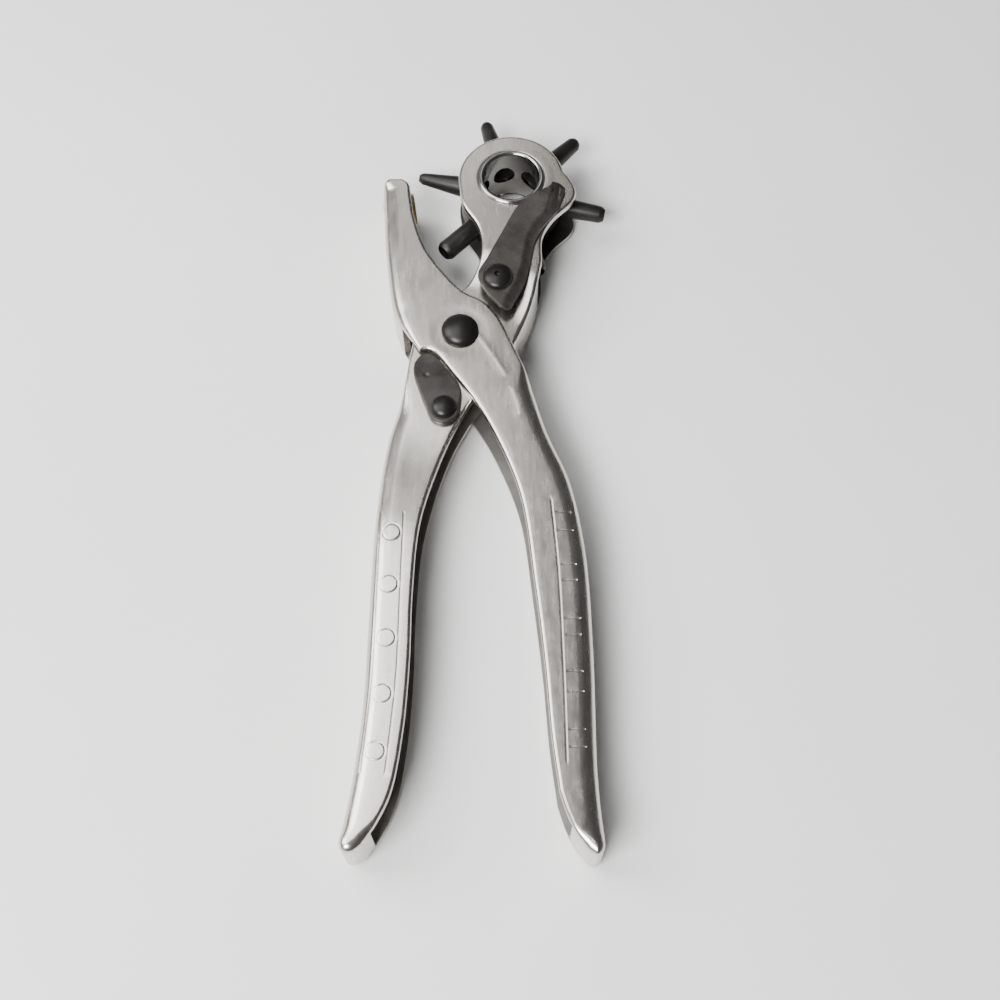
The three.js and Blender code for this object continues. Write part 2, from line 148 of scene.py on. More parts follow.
def clamp(value, low=0.0, high=1.0):
    return max(low, min(high, value))


def smoothstep(value, start, end):
    share = clamp((value - start) / (end - start))
    return share * share * (3 - 2 * share)


def mix(a, b, share):
    return a + (b - a) * share


def eased_ramp(share, ease=0.35):
    """A straight rise from 0 to 1 with a rounding at both ends."""
    share = clamp(share)
    peak = 1 / (1 - ease)
    if share < ease:
        return peak * share * share / (2 * ease)
    if share > 1 - ease:
        return 1 - peak * (1 - share) ** 2 / (2 * ease)
    return peak * (share - ease / 2)


def polar(centre, radius, degrees):
    angle = math.radians(degrees)
    return Vector((centre[0] + radius * math.cos(angle), centre[1] + radius * math.sin(angle)))


def arc(centre, radius, start, end, spacing=EDGE_SPACING):
    count = max(2, round(abs(math.radians(end - start)) * radius / spacing))
    return [polar(centre, radius, mix(start, end, i / count)) for i in range(count + 1)]


def curve(points, spacing=EDGE_SPACING):
    """Evenly spaced points along a smooth line (centripetal Catmull-Rom) through the given ones."""
    knots = [Vector(p) for p in points]
    knots = [2 * knots[0] - knots[1], *knots, 2 * knots[-1] - knots[-2]]
    fine = [knots[1]]
    for i in range(1, len(knots) - 2):
        a, b, c, d = knots[i - 1:i + 3]
        t1 = math.sqrt((b - a).length)
        t2 = t1 + math.sqrt((c - b).length)
        t3 = t2 + math.sqrt((d - c).length)
        for step in range(1, 13):
            t = mix(t1, t2, step / 12)
            ab = a.lerp(b, t / t1)
            bc = b.lerp(c, (t - t1) / (t2 - t1))
            cd = c.lerp(d, (t - t2) / (t3 - t2))
            first = ab.lerp(bc, t / t2)
            second = bc.lerp(cd, (t - t1) / (t3 - t1))
            fine.append(first.lerp(second, (t - t1) / (t2 - t1)))
    return spaced(fine, spacing)


def spaced(points, spacing):
    """The same line with evenly spaced points."""
    lengths = [0.0]
    for a, b in zip(points, points[1:]):
        lengths.append(lengths[-1] + (b - a).length)
    count = max(1, round(lengths[-1] / spacing))
    result = []
    j = 0
    for i in range(count + 1):
        target = lengths[-1] * i / count
        while j < len(points) - 2 and lengths[j + 1] < target:
            j += 1
        span = lengths[j + 1] - lengths[j]
        result.append(points[j].lerp(points[j + 1], (target - lengths[j]) / span if span else 0))
    return result


def line_distance(point, line):
    """Distance from a point to a line of points."""
    best = 1e9
    for a, b in zip(line, line[1:]):
        along = b - a
        share = clamp((point - a).dot(along) / along.length_squared) if along.length_squared else 0
        best = min(best, (a + along * share - point).length_squared)
    return math.sqrt(best)


def inside(point, loop):
    x, y = point
    odd = False
    for (ax, ay), (bx, by) in zip(loop, loop[1:] + loop[:1]):
        if (ay > y) != (by > y) and x < (bx - ax) * (y - ay) / (by - ay) + ax:
            odd = not odd
    return odd


def loop_normals(loop):
    """Unit normals that point into a loop, one for each of its points."""
    area = sum(a.x * b.y - b.x * a.y for a, b in zip(loop, loop[1:] + loop[:1]))
    side = 1 if area > 0 else -1
    normals = []
    for i, point in enumerate(loop):
        before = (point - loop[i - 1]).normalized()
        after = (loop[(i + 1) % len(loop)] - point).normalized()
        along = (before + after).normalized()
        normals.append(Vector((-along.y, along.x)) * side)
    return normals


def add_piece(name, points, faces, body, nodes, material, sharp=38):
    mesh = bpy.data.meshes.new(name)
    mesh.from_pydata([metres(p) for p in points], [], faces)
    mesh.materials.append(material)
    mesh.shade_smooth()
    mesh.set_sharp_from_angle(angle=math.radians(sharp))
    piece = bpy.data.objects.new(name, mesh)
    bpy.context.scene.collection.objects.link(piece)
    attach(piece, body)
    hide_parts(*nodes)
    return piece


def bevel(piece, width):
    modifier = piece.modifiers.new("edges", "BEVEL")
    modifier.width = width * MM
    modifier.segments = 2
    modifier.limit_method = "ANGLE"
    modifier.angle_limit = math.radians(30)


def lathe(profile, segments, place):
    """Points and faces of a turned solid: [radius, height] pairs from low to high, placed by place()."""
    points = []
    rows = []
    for radius, height in profile:
        if radius < 1e-6:
            rows.append([len(points)])
            points.append(place((0, 0, height)))
            continue
        rows.append(list(range(len(points), len(points) + segments)))
        for i in range(segments):
            angle = 2 * math.pi * i / segments
            points.append(place((radius * math.cos(angle), radius * math.sin(angle), height)))
    faces = []
    closed = profile[0] == profile[-1]
    if closed:
        points = points[:-segments]
        rows[-1] = rows[0]
    for low, high in zip(rows, rows[1:]):
        for i in range(segments):
            j = (i + 1) % segments
            if len(low) == 1 and len(high) == 1:
                continue
            if len(low) == 1:
                faces.append((low[0], high[j], high[i]))
            elif len(high) == 1:
                faces.append((low[i], low[j], high[0]))
            else:
                faces.append((low[i], low[j], high[j], high[i]))
    return points, faces


def upright(centre):
    return lambda p: (centre[0] + p[0], centre[1] + p[1], p[2])


def radial(angle):
    """Places a solid made along +Z so that it lies along a direction out from the hub's axis."""
    turn = math.radians(angle)
    cos, sin = math.cos(turn), math.sin(turn)
    return lambda p: (HUB.x + p[2] * cos - p[1] * sin, HUB.y + p[2] * sin + p[1] * cos, -p[0])


def sweep(path, radius, sides):
    """Points and faces of a round wire along a path."""
    points = []
    rings = []
    up = Vector((0.1, 0.2, 1)).normalized()
    for i, centre in enumerate(path):
        along = (path[min(i + 1, len(path) - 1)] - path[max(i - 1, 0)]).normalized()
        side = along.cross(up).normalized()
        up = side.cross(along).normalized()
        rings.append(range(len(points), len(points) + sides))
        for k in range(sides):
            angle = 2 * math.pi * k / sides
            points.append(centre + radius * (side * math.cos(angle) + up * math.sin(angle)))
    faces = [tuple(reversed(rings[0])), tuple(rings[-1])]
    for low, high in zip(rings, rings[1:]):
        for k in range(sides):
            n = (k + 1) % sides
            faces.append((low[k], low[n], high[n], high[k]))
    return points, faces


# ---------- Pressed plates ----------

def tree_of(points):
    tree = KDTree(len(points))
    for i, point in enumerate(points):
        tree.insert((point.x, point.y, 0), i)
    tree.balance()
    return tree


def gap_to(tree, point):
    distance = tree.find((point.x, point.y, 0))[2]
    return math.inf if distance is None else distance


def edge_part(points, fold=lambda p: 0.0, wall=lambda p: False):
    return [(p, fold(p), wall(p)) for p in points]


class Plate:
    """A triangulated outline whose points know how far they lie from its edge.

    The outline is a list of (point, fold, wall): fold goes from 0 at a free edge to 1 where the sheet
    folds over a wide shoulder, and wall says whether the edge carries on into the web. Grooves are
    (line, depth) pairs that the triangles follow, and seeds are further points that give a shaped area
    its resolution.
    """

    def __init__(self, outline, holes=(), grooves=(), seeds=(), fill=1.7, free=FREE_ROUND):
        self.free_round = free
        self.outer = [p for p, _, _ in outline]
        self.holes = holes
        self.points = []
        self.edge = []      # per point: distance from the edge, fold, wall, inward normal
        self.sunk = []      # per point: depth of a groove
        self.loops = []
        self.beside = []
        self.lines = []
        self.add_loop(self.outer, [f for _, f, _ in outline], [w for _, _, w in outline], 1)
        for hole in holes:
            self.add_loop(hole, [0.0] * len(hole), [False] * len(hole), -1)
        self.boundary = tree_of(self.points)
        self.rim_count = len(self.points)
        for line, depth in grooves:
            self.add_groove(line, depth)
        self.add_rings()
        self.add_fill(seeds, fill)
        self.triangulate()

    def add_loop(self, loop, folds, walls, side):
        first = len(self.points)
        count = len(loop)
        for i, normal in enumerate(loop_normals(loop)):
            self.points.append(loop[i])
            self.edge.append((0.0, folds[i], float(walls[i]), normal * side))
            self.sunk.append(0.0)
            self.beside.append((first + (i - 1) % count, first + (i + 1) % count))
            self.lines.append((first + i, first + (i + 1) % count))
        self.loops.append((list(range(first, first + count)), side))

    def add_groove(self, line, depth):
        closed = (line[0] - line[-1]).length < 0.01
        dense = line[:-1] if closed else line
        count = len(dense)
        for offset in (-GROOVE_GUARD, -GROOVE_HALF, 0.0, GROOVE_HALF, GROOVE_GUARD):
            first = len(self.points)
            for i, point in enumerate(dense):
                before = dense[i - 1] if closed or i else point
                after = dense[(i + 1) % count] if closed or i < count - 1 else point
                along = (after - before).normalized()
                self.add_point(point + Vector((-along.y, along.x)) * offset, 0.0 if offset else depth)
                if i or closed:
                    self.lines.append((first + (i - 1) % count, first + i))

    def add_point(self, point, sunk=0.0):
        self.points.append(point)
        self.edge.append(self.near_edge(point))
        self.sunk.append(sunk)

    def add_rings(self):
        grooves = tree_of(self.points[self.rim_count:])
        for i in range(self.rim_count):
            _, fold, wall, normal = self.edge[i]
            width = mix(self.free_round[0], FOLD_ROUND[0], fold)
            for share in RING_SHARES if fold > 0.05 else RING_SHARES[2:]:
                point = self.points[i] + normal * width * share
                nearest_here = gap_to(self.boundary, point) > 0.93 * width * share - 0.01
                if nearest_here and gap_to(grooves, point) > LEAST_GAP:
                    self.points.append(point)
                    self.edge.append((width * share, fold, wall, normal))
                    self.sunk.append(0.0)

    def add_fill(self, seeds, fill):
        taken = tree_of(self.points)
        near = [p for p in seeds if gap_to(taken, p) > LEAST_GAP and self.contains(p)]
        seeded = tree_of(near)
        loose = []
        left, right, bottom, top = (int(side / fill) for side in PLATE_FIELD)
        for row in range(bottom, top):
            for column in range(left, right):
                point = Vector(((column + row % 2 / 2) * fill, row * fill * 0.87))
                free = gap_to(taken, point) > 0.45 * fill and gap_to(seeded, point) > 0.45 * fill
                if free and self.contains(point):
                    loose.append(point)
        for point in near + loose:
            self.add_point(point)

    def contains(self, point):
        return inside(point, self.outer) and not any(inside(point, hole) for hole in self.holes)

    def near_edge(self, point):
        """True distance to the edge, with the edge's fold, wall and normal there."""
        nearest = self.boundary.find((point.x, point.y, 0))[1]
        best = None
        for other in self.beside[nearest]:
            start = self.points[nearest]
            along = self.points[other] - start
            share = clamp((point - start).dot(along) / along.length_squared)
            gap = (start + along * share - point).length
            if best is None or gap < best[0]:
                _, fold_a, wall_a, normal_a = self.edge[nearest]
                _, fold_b, wall_b, normal_b = self.edge[other]
                normal = normal_a.lerp(normal_b, share).normalized()
                best = (gap, mix(fold_a, fold_b, share), mix(wall_a, wall_b, share), normal)
        return best

    def triangulate(self):
        points, _, faces, origins, _, _ = delaunay_2d_cdt(self.points, self.lines, [], 0, 1e-5)
        self.flat = [Vector(p) for p in points]
        self.index = {source: i for i, sources in enumerate(origins) for source in sources}
        self.source = [sources[0] if sources else None for sources in origins]
        for i, source in enumerate(self.source):
            if source is None:
                self.source[i] = len(self.points)
                self.add_point(self.flat[i])
        self.faces = []
        for face in faces:
            centre = sum((self.flat[i] for i in face), Vector((0, 0))) / len(face)
            if self.contains(centre):
                self.faces.append(tuple(face))

    def surface(self, height, thickness, grooved=True, underside=None):
        """Outer and inner points of the sheet, by a height function of the place."""
        outer = []
        inner = []
        for point, source in zip(self.flat, self.source):
            distance, fold, wall, normal = self.edge[source]
            top = height(point)
            width, depth = (mix(a, b, fold) for a, b in zip(self.free_round, FOLD_ROUND))
            sunk = self.sunk[source] if grooved else 0.0
            outer.append(Vector((point.x, point.y, top - rounded_drop(distance, width, depth) - sunk)))
            under = underside(point) if underside else top - thickness
            straight = Vector((point.x, point.y, under))
            width, depth = (max(size, thickness + 0.05) for size in (width, depth))
            if wall > 0 and distance < width:
                centre = point + normal * (width - distance)
                reach = (width - distance) * (width - thickness) / width
                rise = (depth - rounded_drop(distance, width, depth)) * (depth - thickness) / depth
                straight = straight.lerp(Vector((*(centre - normal * reach), top - depth + rise)), wall)
            inner.append(straight)
        return outer, inner


def rounded_drop(distance, width, depth):
    """How far an elliptic rounding lies below the face at a distance from the edge."""
    share = clamp(1 - distance / width)
    return depth * (1 - math.sqrt(1 - share * share))


def half_shell(plate, outer, inner, sign):
    """Points and faces of one plate, on the front (sign 1) or the rear (sign -1)."""
    points = [Vector((p.x, p.y, p.z * sign)) for p in outer + inner]
    count = len(outer)
    faces = []
    for face in plate.faces:
        top = face if sign > 0 else tuple(reversed(face))
        bottom = tuple(i + count for i in (reversed(face) if sign > 0 else face))
        faces += [top, bottom]
    return points, faces


def edge_pairs(plate):
    """Pairs of neighbouring rim points with the plate on their left, and whether a wall joins on there."""
    for indices, side in plate.loops:
        ring = [plate.index[i] for i in indices]
        walls = [plate.edge[i][2] > 0.5 for i in indices]
        area = sum(
            plate.flat[a].x * plate.flat[b].y - plate.flat[b].x * plate.flat[a].y
            for a, b in zip(ring, ring[1:] + ring[:1])
        )
        for k, a in enumerate(ring):
            n = (k + 1) % len(ring)
            pair = (a, ring[n]) if area * side > 0 else (ring[n], a)
            yield (*pair, walls[k] and walls[n])


def lever_shell(plate, height, underside=None):
    """Both plates of a folded lever with the web between them and its cut edges."""
    outer, inner = plate.surface(height, SHEET, underside=underside)
    rear_outer, rear_inner = plate.surface(height, SHEET, grooved=False, underside=underside)
    points, faces = half_shell(plate, outer, inner, 1)
    rear_points, rear_faces = half_shell(plate, rear_outer, rear_inner, -1)
    shift = len(points)
    count = len(outer)
    points += rear_points
    faces += [tuple(i + shift for i in face) for face in rear_faces]
    use = {}
    for a, b, wall in edge_pairs(plate):
        if wall:
            faces.append((b, a, a + shift, b + shift))
            faces.append((a + count, b + count, b + count + shift, a + count + shift))
            use[a] = use.get(a, 0) + 1
            use[b] = use.get(b, 0) - 1
        else:
            faces.append((b, a, a + count, b + count))
            faces.append((a + shift, b + shift, b + count + shift, a + count + shift))
    for i, balance in use.items():
        if balance > 0:
            faces.append((i, i + count, i + count + shift, i + shift))
        elif balance < 0:
            faces.append((i, i + shift, i + count + shift, i + count))
    return points, faces


def single_plate(plate, height, thickness, underside=None):
    """A closed flat pressing with rounded top edges."""
    outer, inner = plate.surface(height, thickness, underside=underside)
    points, faces = half_shell(plate, outer, inner, 1)
    count = len(outer)
    for a, b, _ in edge_pairs(plate):
        faces.append((b, a, a + count, b + count))
    return points, faces


def line_seeds(line, offsets, spacing):
    """Seed points beside a line, so that a narrow feature along it is resolved."""
    dense = spaced(line, spacing)
    seeds = []
    for i, point in enumerate(dense):
        along = (dense[min(i + 1, len(dense) - 1)] - dense[max(i - 1, 0)]).normalized()
        normal = Vector((-along.y, along.x))
        seeds += [point + normal * offset for offset in offsets]
    return seeds


def ring_seeds(centre, radii, spacing):
    return [p for radius in radii for p in arc(centre, radius, 0, 360, spacing)[:-1]]


# ---------- Levers ----------

def anvil_lever_outline():
    jaw = edge_part(curve([
        (-17.9, 55.1), (-15.9, 53.4), (-15.1, 48), (-14, 41), (-10.5, 29.5), (-4.5, 20), (1, 13.8),
        (6.5, 10.6), (11, 5), (15.3, -4.4),
    ]))
    handle = edge_part(
        curve([
            (15.3, -4.4), (19.3, -14.5), (24.4, -32), (30.2, -47), (33.9, -68), (35, -96), (34.9, -128),
            (35.5, -139), (36, -144.5), (35.8, -147.6), (34.2, -149.1), (31.9, -147.8),
        ])[1:],
        fold=lambda p: smoothstep(-p.y, 10, 19) * (1 - 0.55 * smoothstep(-p.y, 142, 147)),
        wall=lambda p: p.y < -14.5,
    )
    end = edge_part(
        curve([(31.9, -147.8), (29.2, -144), (26.9, -139), (25.2, -133.5)])[1:],
        fold=lambda p: 0.45 * smoothstep(-p.y, 141, 147.8),
        wall=lambda p: p.y < -141.2,
    )
    lower = edge_part(curve([
        (25.2, -133.5), (23.5, -119), (22.2, -100), (19.9, -77), (16.6, -52), (9.7, -33), (3.8, -22),
        (-2, -13.6), (-6, -8), (-7.4, -6.6),
    ])[1:])
    notch = edge_part(curve([(-7.4, -6.6), (-9, -5.8), (-10.4, -5.9), (-11.6, -6.1)], 0.5)[1:])
    back = edge_part(
        curve([
            (-11.6, -6.1), (-13.2, -3.4), (-18.6, 6), (-21.9, 25), (-23.1, 42), (-23.3, 53.4),
            (-22.1, 55.1),
        ])[1:],
        fold=lambda p: smoothstep(p.y, -4, 8) * (1 - smoothstep(p.y, 51, 54.5)),
        wall=lambda p: 2.2 < p.y < 53.5,
    )
    top = edge_part(curve([(-22.1, 55.1), (-17.9, 55.1)])[1:-1])
    return jaw + handle + end + lower + notch + back + top


def punch_lever_outline():
    head = arc(HUB, HEAD_RADIUS, 190, 10)
    ear = curve([
        head[-1][:], (33.6, 53.8), (34.9, 50), (34, 46.2), (27.6, 39.2), (24.5, 33), (24.1, 24),
    ])[1:]
    neck = edge_part(
        curve([(24.1, 24), (21.5, 12), (17.5, 1), (12, -10), (6, -18.6), (2.6, -23)])[1:],
        fold=lambda p: 0.12 * smoothstep(20 - p.y, 0, 4) * (1 - smoothstep(-p.y, 0, 4)),
        wall=lambda p: -4 < p.y < 18.5,
    )
    inner = edge_part(
        curve([
            (2.6, -23), (-2, -32), (-6.8, -45), (-10.6, -60), (-12.2, -80), (-12.6, -100), (-13.9, -118),
            (-16.6, -133.5), (-20, -141), (-23.4, -146.2),
        ])[1:],
        fold=lambda p: 0.45 * smoothstep(-p.y, 139, 146),
        wall=lambda p: p.y < -142.6,
    )
    outer = edge_part(
        curve([
            (-23.4, -146.2), (-25.9, -147.9), (-28.2, -147.6), (-29.1, -145.6), (-28.4, -141.5),
            (-26.3, -129), (-24.4, -110), (-23.7, -88), (-22.7, -58), (-20.2, -34), (-16.2, -18.6),
            (-14.6, -7),
        ])[1:],
        fold=lambda p: smoothstep(-p.y, 15, 26) * (1 - 0.55 * smoothstep(-p.y, 140.5, 146)),
        wall=lambda p: p.y < -21,
    )
    left = curve([
        (-14.6, -7), (-12, 4), (-5, 12.5), (1.5, 17), (5.8, 25.5), (5.5, 36), (0.6, 45.2), head[0][:],
    ])[1:-1]
    return edge_part(head + ear) + neck + inner + outer + edge_part(left)


def stepped_zone():
    """Where the punch lever is stepped in to pass inside the anvil lever and under the lock."""
    loop = arc(PIVOT, STEP_RADIUS, 6, 200, 2)
    loop += [Vector((-22, -10)), Vector((-18, -17.5))]
    loop += arc(LOCK_PIN, 8.6, 185, 330, 2)
    loop += [Vector((12, -27)), Vector((24, -12)), Vector((24, 1.6))]
    return loop


class Step:
    """Height of the stepped-in zone's floor and slopes."""

    def __init__(self):
        self.loop = stepped_zone()
        self.line = self.loop + self.loop[:1]

    def seeds(self):
        return line_seeds(self.line, STEP_SEED_OFFSETS, 1.4)

    def height(self, point):
        if inside(point, self.loop):
            return STEP_FACE
        slope = STEP_SLOPE * (1 + HANDLE_SLOPE_GAIN * smoothstep(-point.y, 12, 32))
        return mix(STEP_FACE, FACE, eased_ramp(line_distance(point, self.line) / slope))


def left_grooves():
    """A generic stamped panel: rings between two long grooves that follow the handle."""
    sides = [curve([(x, -57), (x - 0.4, -80), (x - 1, -105), (x - 3, -128)]) for x in (-21.4, -14.9)]
    middle = curve([(-18.1, -63), (-18.5, -80), (-19.1, -105), (-20.6, -123)], 1)
    count = 5
    centres = [middle[round(i / (count - 1) * (len(middle) - 1))] for i in range(count)]
    rings = [arc(centre, 2.4, 0, 360, 0.6) for centre in centres]
    return [(line, LINE_DEPTH) for line in sides] + [(ring, RING_DEPTH) for ring in rings]


def right_grooves():
    """A generic stamped panel: short cross marks between two long grooves."""
    sides = [curve([(x, -54), (x + 1.4, -75), (x + 2, -100), (x + 2.2, -126)]) for x in (25, 30.6)]
    marks = []
    length = 72
    for i in range(5):
        for gap in (0.0, 4.6):
            share = (4 + 15 * i + gap) / length
            a, b = (side[round(share * (len(side) - 1))] for side in sides)
            marks.append(spaced([a.lerp(b, 0.14), b.lerp(a, 0.14)], 0.7))
    return [(line, LINE_DEPTH) for line in sides] + [(mark, MARK_DEPTH) for mark in marks]


def crease(point, line):
    return CREASE_RISE * (1 - smoothstep(line_distance(point, line), 0, CREASE_HALF))


def anvil_lever(material, shaded_inside):
    creases = [
        curve([(5.5, -1.5), (9, -7), (13, -14)], 2),
        curve([(15, -19), (16.4, -23), (17.2, -27)], 2),
    ]
    seeds = ring_seeds(PIVOT, (6.2, 7.0, 8.0, 9.2), 1.0)
    seeds += [p for line in creases for p in line_seeds(line, (-1.2, -0.6, 0, 0.6, 1.2), 1)]
    seeds += [p for radius in (8.9, 9.4, 9.9) for p in arc(PIVOT, radius, 190, 238, 0.7)]
    plate = Plate(anvil_lever_outline(), grooves=right_grooves(), seeds=seeds)

    def face(point):
        height = FACE - PIVOT_SEAT_DEPTH * (1 - smoothstep((point - PIVOT).length, 6.6, 9.0))
        near_creases = -30 < point.y < 4 and point.x > 0
        if near_creases:
            height += sum(crease(point, line) for line in creases)
        return height

    def underside(point):
        """The sheet is thinned where it passes over the lock's tip."""
        x, y = point - PIVOT
        angle = math.degrees(math.atan2(y, x)) % 360
        over_lock = 0.0
        if LOCK_SECTOR[0] < angle < LOCK_SECTOR[1]:
            over_lock = smoothstep(math.hypot(x, y), LOCK_SECTOR_START, LOCK_SECTOR_START + 0.5)
        return mix(FACE - SHEET, LOCK_TIP_TOP + LOCK_CLEARANCE, over_lock)

    points, faces = lever_shell(plate, face, underside)
    shell = add_piece(
        "anvil_lever_shell", points, faces, "anvil_lever_body", ["anvil_lever"], material
    )
    shade_inside_faces(shell, plate, shaded_inside)


def punch_lever(material, shaded_inside):
    step = Step()
    seeds = step.seeds() + ring_seeds(HUB, (10.3, 10.9, 11.5, 12.0, 12.5, 13.0, 13.6), 0.9)
    hole = arc(HUB, CHEEK_HOLE, 0, 360, 0.8)[:-1]
    plate = Plate(punch_lever_outline(), holes=[hole], grooves=left_grooves(), seeds=seeds)

    def face(point):
        return step.height(point) + HUB_RISE * (1 - smoothstep((point - HUB).length, 10.8, 14.2))

    points, faces = lever_shell(plate, face)
    shell = add_piece(
        "punch_lever_shell", points, faces, "punch_lever_body", ["punch_lever"], material
    )
    shade_inside_faces(shell, plate, shaded_inside)


def shade_inside_faces(shell, plate, shaded_inside):
    """Gives the faces of the lever's inside the dull material, which carries painted shade."""
    shell.data.materials.append(shaded_inside)
    count = len(plate.flat)
    for face in shell.data.polygons:
        if all(count <= i < 2 * count or 3 * count <= i for i in face.vertices):
            face.material_index = 1


# ---------- Rivets, spacer, return spring ----------

def rivet_profile(shank, head_radius, head_height, tail_radius, tail_height, low, high, recess=0.0):
    profile = [
        (0, low - tail_height), (tail_radius - 0.6, low - tail_height),
        (tail_radius - 0.15, low - 0.7 * tail_height), (tail_radius, low - 0.35 * tail_height),
        (tail_radius - 0.1, low), (shank, low), (shank, high), (head_radius - 0.25, high),
        (head_radius, high + 0.2),
    ]
    steps = 14
    for i in range(1, steps + 1):
        angle = math.pi / 2 * i / steps
        radius = head_radius * math.cos(angle)
        if recess and radius < recess:
            break
        profile.append((radius if i < steps else 0, high + 0.2 + (head_height - 0.2) * math.sin(angle)))
    if recess:
        top = profile[-1][1]
        profile += [(recess, top + 0.02), (recess * 0.85, top - 0.15)]
        profile += [(recess * 0.7, top - 0.7), (0, top - 0.9)]
    return profile


def rivets(gloss):
    # shank radius, head radius and height, tail radius and height, then where the shank starts and ends
    made = [
        ("pivot_rivet", PIVOT, rivet_profile(3, 5.4, 2.8, 5, 1.1, -FACE - 0.1, FACE + 0.1)),
        ("lock_rivet", LOCK_PIN, rivet_profile(1.8, 3.5, 1.9, 3, 1, 4.9, LOCK_TOP + 0.1)),
        ("index_rivet", LEAF_PIN, rivet_profile(2, 4.3, 2, 3.2, 1, 7.2, 12.18, recess=1.0)),
    ]
    for node, centre, profile in made:
        points, faces = lathe(profile, 64, upright(centre))
        add_piece(node + "_turned", points, faces, "punch_lever_body", [node], gloss)


def spacer(material):
    corners = [(SPACER_RADIUS, -SPACER_HALF), (SPACER_RADIUS, SPACER_HALF), (SPACER_BORE, SPACER_HALF)]
    start = (SPACER_BORE, -SPACER_HALF)
    profile = [start, *corners, start]
    points, faces = lathe(profile, 48, upright(PIVOT))
    piece = add_piece(
        "pivot_spacer_turned", points, faces, "punch_lever_body", ["pivot_spacer"], material
    )
    bevel(piece, 0.25)


def return_spring(material):
    coil = []
    steps = 30
    for i in range(steps + 1):
        share = i / steps
        spot = polar((0, 0), COIL_RADIUS, COIL_START + COIL_SWEEP * share)
        coil.append(Vector((*spot, COIL_HEIGHT * (0.5 - share))))
    level = COIL_HEIGHT / 2
    first = [Vector((-18.2, -42, level)), Vector((-11.5, -22, level))]
    second = [Vector((15.5, -22, -level)), Vector((24.4, -42, -level))]
    points, faces = sweep(curve(first + coil + second), WIRE_RADIUS, 12)
    add_piece(
        "return_spring_wire", points, faces, "punch_lever_body", ["return_spring"], material
    )


# ---------- Lock and index spring ----------

def lock_latch(material):
    spacing = 0.5
    left = curve(
        [(-9.2, -6.4), (-11.3, -7.1), (-12.9, -9.3), (-13.2, -13), (-11.2, -20), (-9.2, -25.4)], spacing
    )
    foot = arc(LOCK_PIN, LOCK_FOOT, 190, 340, spacing)
    right = curve(
        [(0.2, -23), (0.3, -18.5), (-3.2, -12.5), (-6, -8.4), (-7.5, -6.9), (-9.2, -6.4)], spacing
    )
    dimple = Vector((-9.5, -14.2))
    seeds = [dimple] + ring_seeds(dimple, (0.3, 0.6, 0.9, 1.2), 0.35)
    plate = Plate(edge_part(left + foot[1:] + right[:-1]), seeds=seeds, fill=0.9, free=(0.6, 0.5))

    def top(point):
        slope = smoothstep(-point.y, 9.4, 15.5)
        pressed = LOCK_DIMPLE_DEPTH * (1 - smoothstep((point - dimple).length, 0.1, 1.1))
        return mix(LOCK_TIP_TOP, LOCK_TOP, slope) - pressed * slope

    points, faces = single_plate(plate, top, LOCK_TIP_TOP - LOCK_LOW, lambda point: LOCK_LOW)
    add_piece("lock_latch_pressing", points, faces, "handle_lock", ["lock_latch"], material)


LEAF_LEFT = [
    (11.6, 6.9), (7.6, 12.2), (5.2, 18), (8, 24), (12.4, 33), (16.8, 41.8), (20.5, 46), (25.6, 48.7),
]
LEAF_TIP = [(25.6, 48.7), (26.9, 49.7), (27.6, 50.8)]
LEAF_RIGHT = [
    (14.9, 7.2), (18.2, 14), (20, 19.3), (21.4, 26.8), (22.4, 31.2), (25, 36), (28.6, 40.6),
    (30.3, 45.2), (31.7, 49.4),
]


def index_spring(material):
    spacing = 0.6
    left = curve(LEAF_LEFT, spacing)
    right = curve(LEAF_RIGHT, spacing)
    bottom = curve([right[0], (13.5, 6.4), left[0]], spacing)
    end = curve(LEAF_TIP, spacing)[1:]
    end += curve([LEAF_TIP[-1], (28.3, 51), (31.3, 50), (31.7, 49.4)], 0.3)[1:]
    seeds = line_seeds(right, (1.7, 2.0, 2.3, 2.6, 2.9, 3.3), 0.8)
    fold = [Vector((26.2, 43.4)), Vector((28, 50))]
    seeds += line_seeds(fold, (-0.6, -0.3, 0, 0.3, 0.6), 0.7)
    outline = edge_part(left + end + right[::-1][1:] + bottom[1:-1])
    plate = Plate(outline, seeds=seeds, fill=1.1, free=(0.3, 0.3))
    along = (Vector((29, 51.5)) - LEAF_PIN).normalized()
    side = fold[1] - fold[0]

    def top(point):
        share = clamp((point - Vector(LEAF_LEFT[0])).dot(along) / LEAF_LENGTH)
        height = LEAF_PLATE_LOW + LEAF_RISE * share + LEAF_THICKNESS
        flange = 1 - smoothstep(line_distance(point, right), 0.3, LEAF_FLANGE_WIDTH + 0.5)
        height -= LEAF_FLANGE_DROP * flange
        if point.y > 40:
            beyond = ((point - fold[0]).x * side.y - (point - fold[0]).y * side.x) / side.length
            height -= LEAF_THUMB_DROP * smoothstep(beyond, -0.3, 0.5)
        return height

    points, faces = single_plate(plate, top, LEAF_THICKNESS)
    add_piece("index_spring_pressing", points, faces, "index", ["index_spring"], material)


def index_nose(material):
    low, shoulder = WHEEL_HALF + 0.3, 10.8
    profile = [
        (0, low), (0.4, low + 0.05), (0.8, low + 0.25), (1.3, low + 0.8), (1.5, low + 1.2), (1.5, shoulder),
        (1.0, shoulder), (1.0, shoulder + 1.2), (0.8, shoulder + 1.35), (0, shoulder + 1.4),
    ]
    points, faces = lathe(profile, 32, upright(polar(HUB, INDEX_RADIUS, INDEX_ANGLE)))
    add_piece("index_nose_turned", points, faces, "index", ["index_nose"], material)


# ---------- Wheel, sleeve, tubes, anvil ----------

def tube_angles():
    return [FIRST_TUBE_ANGLE - TUBE_PITCH * i for i in range(len(TUBE_BORES))]


def drill(radius, start, end, angle):
    """A cutter for a hole that runs out from the hub's axis."""
    return lathe([(0, start), (radius, start), (radius, end), (0, end)], 32, radial(angle))


